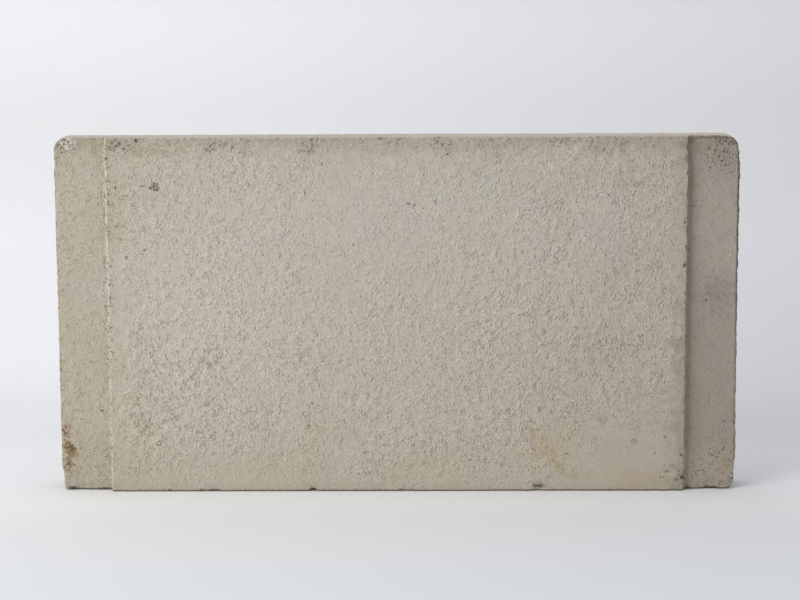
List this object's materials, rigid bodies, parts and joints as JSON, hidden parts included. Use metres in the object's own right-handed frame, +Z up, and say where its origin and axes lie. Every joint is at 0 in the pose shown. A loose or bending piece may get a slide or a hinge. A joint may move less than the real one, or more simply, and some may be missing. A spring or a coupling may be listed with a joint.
{
  "type": "refractory firebrick panel",
  "caption": "Flat cast refractory firebrick slab for a combustion chamber wall, with a raised rough-faced field and a stepped rebate down each end.",
  "frame": {"origin": "centre of the long edge face that the slab stands on, at floor level", "axes": "+X along the length, to the right as the rough front is looked at; +Y from the front to the flat back; +Z up"},
  "size_m": [0.508, 0.0382, 0.2667],
  "materials": {
    "fired_refractory": "matte"
  },
  "bodies": {
    "root": {"firebrick": "fired_refractory"}
  },
  "joints": []
}
